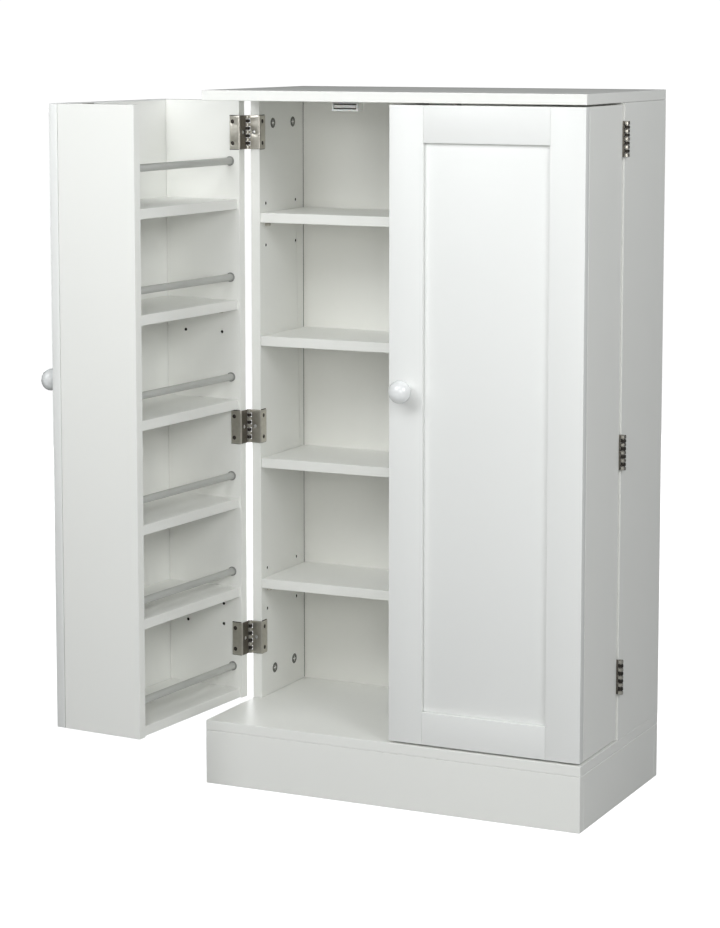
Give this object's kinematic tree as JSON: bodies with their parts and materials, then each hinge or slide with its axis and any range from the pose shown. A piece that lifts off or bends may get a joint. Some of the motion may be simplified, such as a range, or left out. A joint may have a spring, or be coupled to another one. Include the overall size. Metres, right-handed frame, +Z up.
{
  "type": "pantry cabinet",
  "caption": "Free-standing pantry cabinet with shelves inside and two box doors that carry their own shelves and guard rods; one door open.",
  "frame": {"origin": "on the floor, in the middle of the cabinet's width, under the middle of the front plinth board's thickness", "axes": "+X to the cabinet's right as seen from the front, +Y to its back, +Z up"},
  "size_m": [0.8154, 0.4805, 1.04],
  "materials": {
    "white_board": "white melamine-faced board, satin",
    "back_board": "thin white-faced fibreboard, matt",
    "hinge_steel": "satin nickel plate",
    "guard_rod": "satin grey",
    "knob": "gloss white",
    "magnetic_catch": "moulded, white"
  },
  "bodies": {
    "cabinet": {"back_panel": "back_board", "base_panel": "white_board", "left_hinge_1_cabinet_leaf": "hinge_steel", "left_hinge_2_cabinet_leaf": "hinge_steel", "left_hinge_3_cabinet_leaf": "hinge_steel", "magnetic_catch_left": "magnetic_catch", "magnetic_catch_right": "magnetic_catch", "plinth_back": "white_board", "plinth_front": "white_board", "plinth_left": "white_board", "plinth_right": "white_board", "right_hinge_1_cabinet_leaf": "hinge_steel", "right_hinge_2_cabinet_leaf": "hinge_steel", "right_hinge_3_cabinet_leaf": "hinge_steel", "shelf_1": "white_board", "shelf_2": "white_board", "shelf_3": "white_board", "shelf_4": "white_board", "side_panel_left": "white_board", "side_panel_right": "white_board", "top_panel": "white_board"},
    "left_door": {"left_door_free_side": "white_board", "left_door_front": "white_board", "left_door_hinge_side": "white_board", "left_door_knob": "knob", "left_door_rod_1": "guard_rod", "left_door_rod_2": "guard_rod", "left_door_rod_3": "guard_rod", "left_door_rod_4": "guard_rod", "left_door_rod_5": "guard_rod", "left_door_rod_6": "guard_rod", "left_door_shelf_1": "white_board", "left_door_shelf_2": "white_board", "left_door_shelf_3": "white_board", "left_door_shelf_4": "white_board", "left_door_shelf_5": "white_board", "left_door_shelf_6": "white_board", "left_hinge_1_door_leaf": "hinge_steel", "left_hinge_2_door_leaf": "hinge_steel", "left_hinge_3_door_leaf": "hinge_steel"},
    "right_door": {"right_door_free_side": "white_board", "right_door_front": "white_board", "right_door_hinge_side": "white_board", "right_door_knob": "knob", "right_door_rod_1": "guard_rod", "right_door_rod_2": "guard_rod", "right_door_rod_3": "guard_rod", "right_door_rod_4": "guard_rod", "right_door_rod_5": "guard_rod", "right_door_rod_6": "guard_rod", "right_door_shelf_1": "white_board", "right_door_shelf_2": "white_board", "right_door_shelf_3": "white_board", "right_door_shelf_4": "white_board", "right_door_shelf_5": "white_board", "right_door_shelf_6": "white_board", "right_hinge_1_door_leaf": "hinge_steel", "right_hinge_2_door_leaf": "hinge_steel", "right_hinge_3_door_leaf": "hinge_steel"}
  },
  "joints": [
    {"name": "left_door_hinge", "type": "hinge", "parent": "cabinet", "child": "left_door", "pos_m": [-0.3042, 0.14385, 0.52346], "axis": [0, 0, -1], "range_deg": [-94, 81]},
    {"name": "right_door_hinge", "type": "hinge", "parent": "cabinet", "child": "right_door", "pos_m": [0.3042, 0.14385, 0.52346], "axis": [0, 0, 1], "range_deg": [0, 175]}
  ]
}
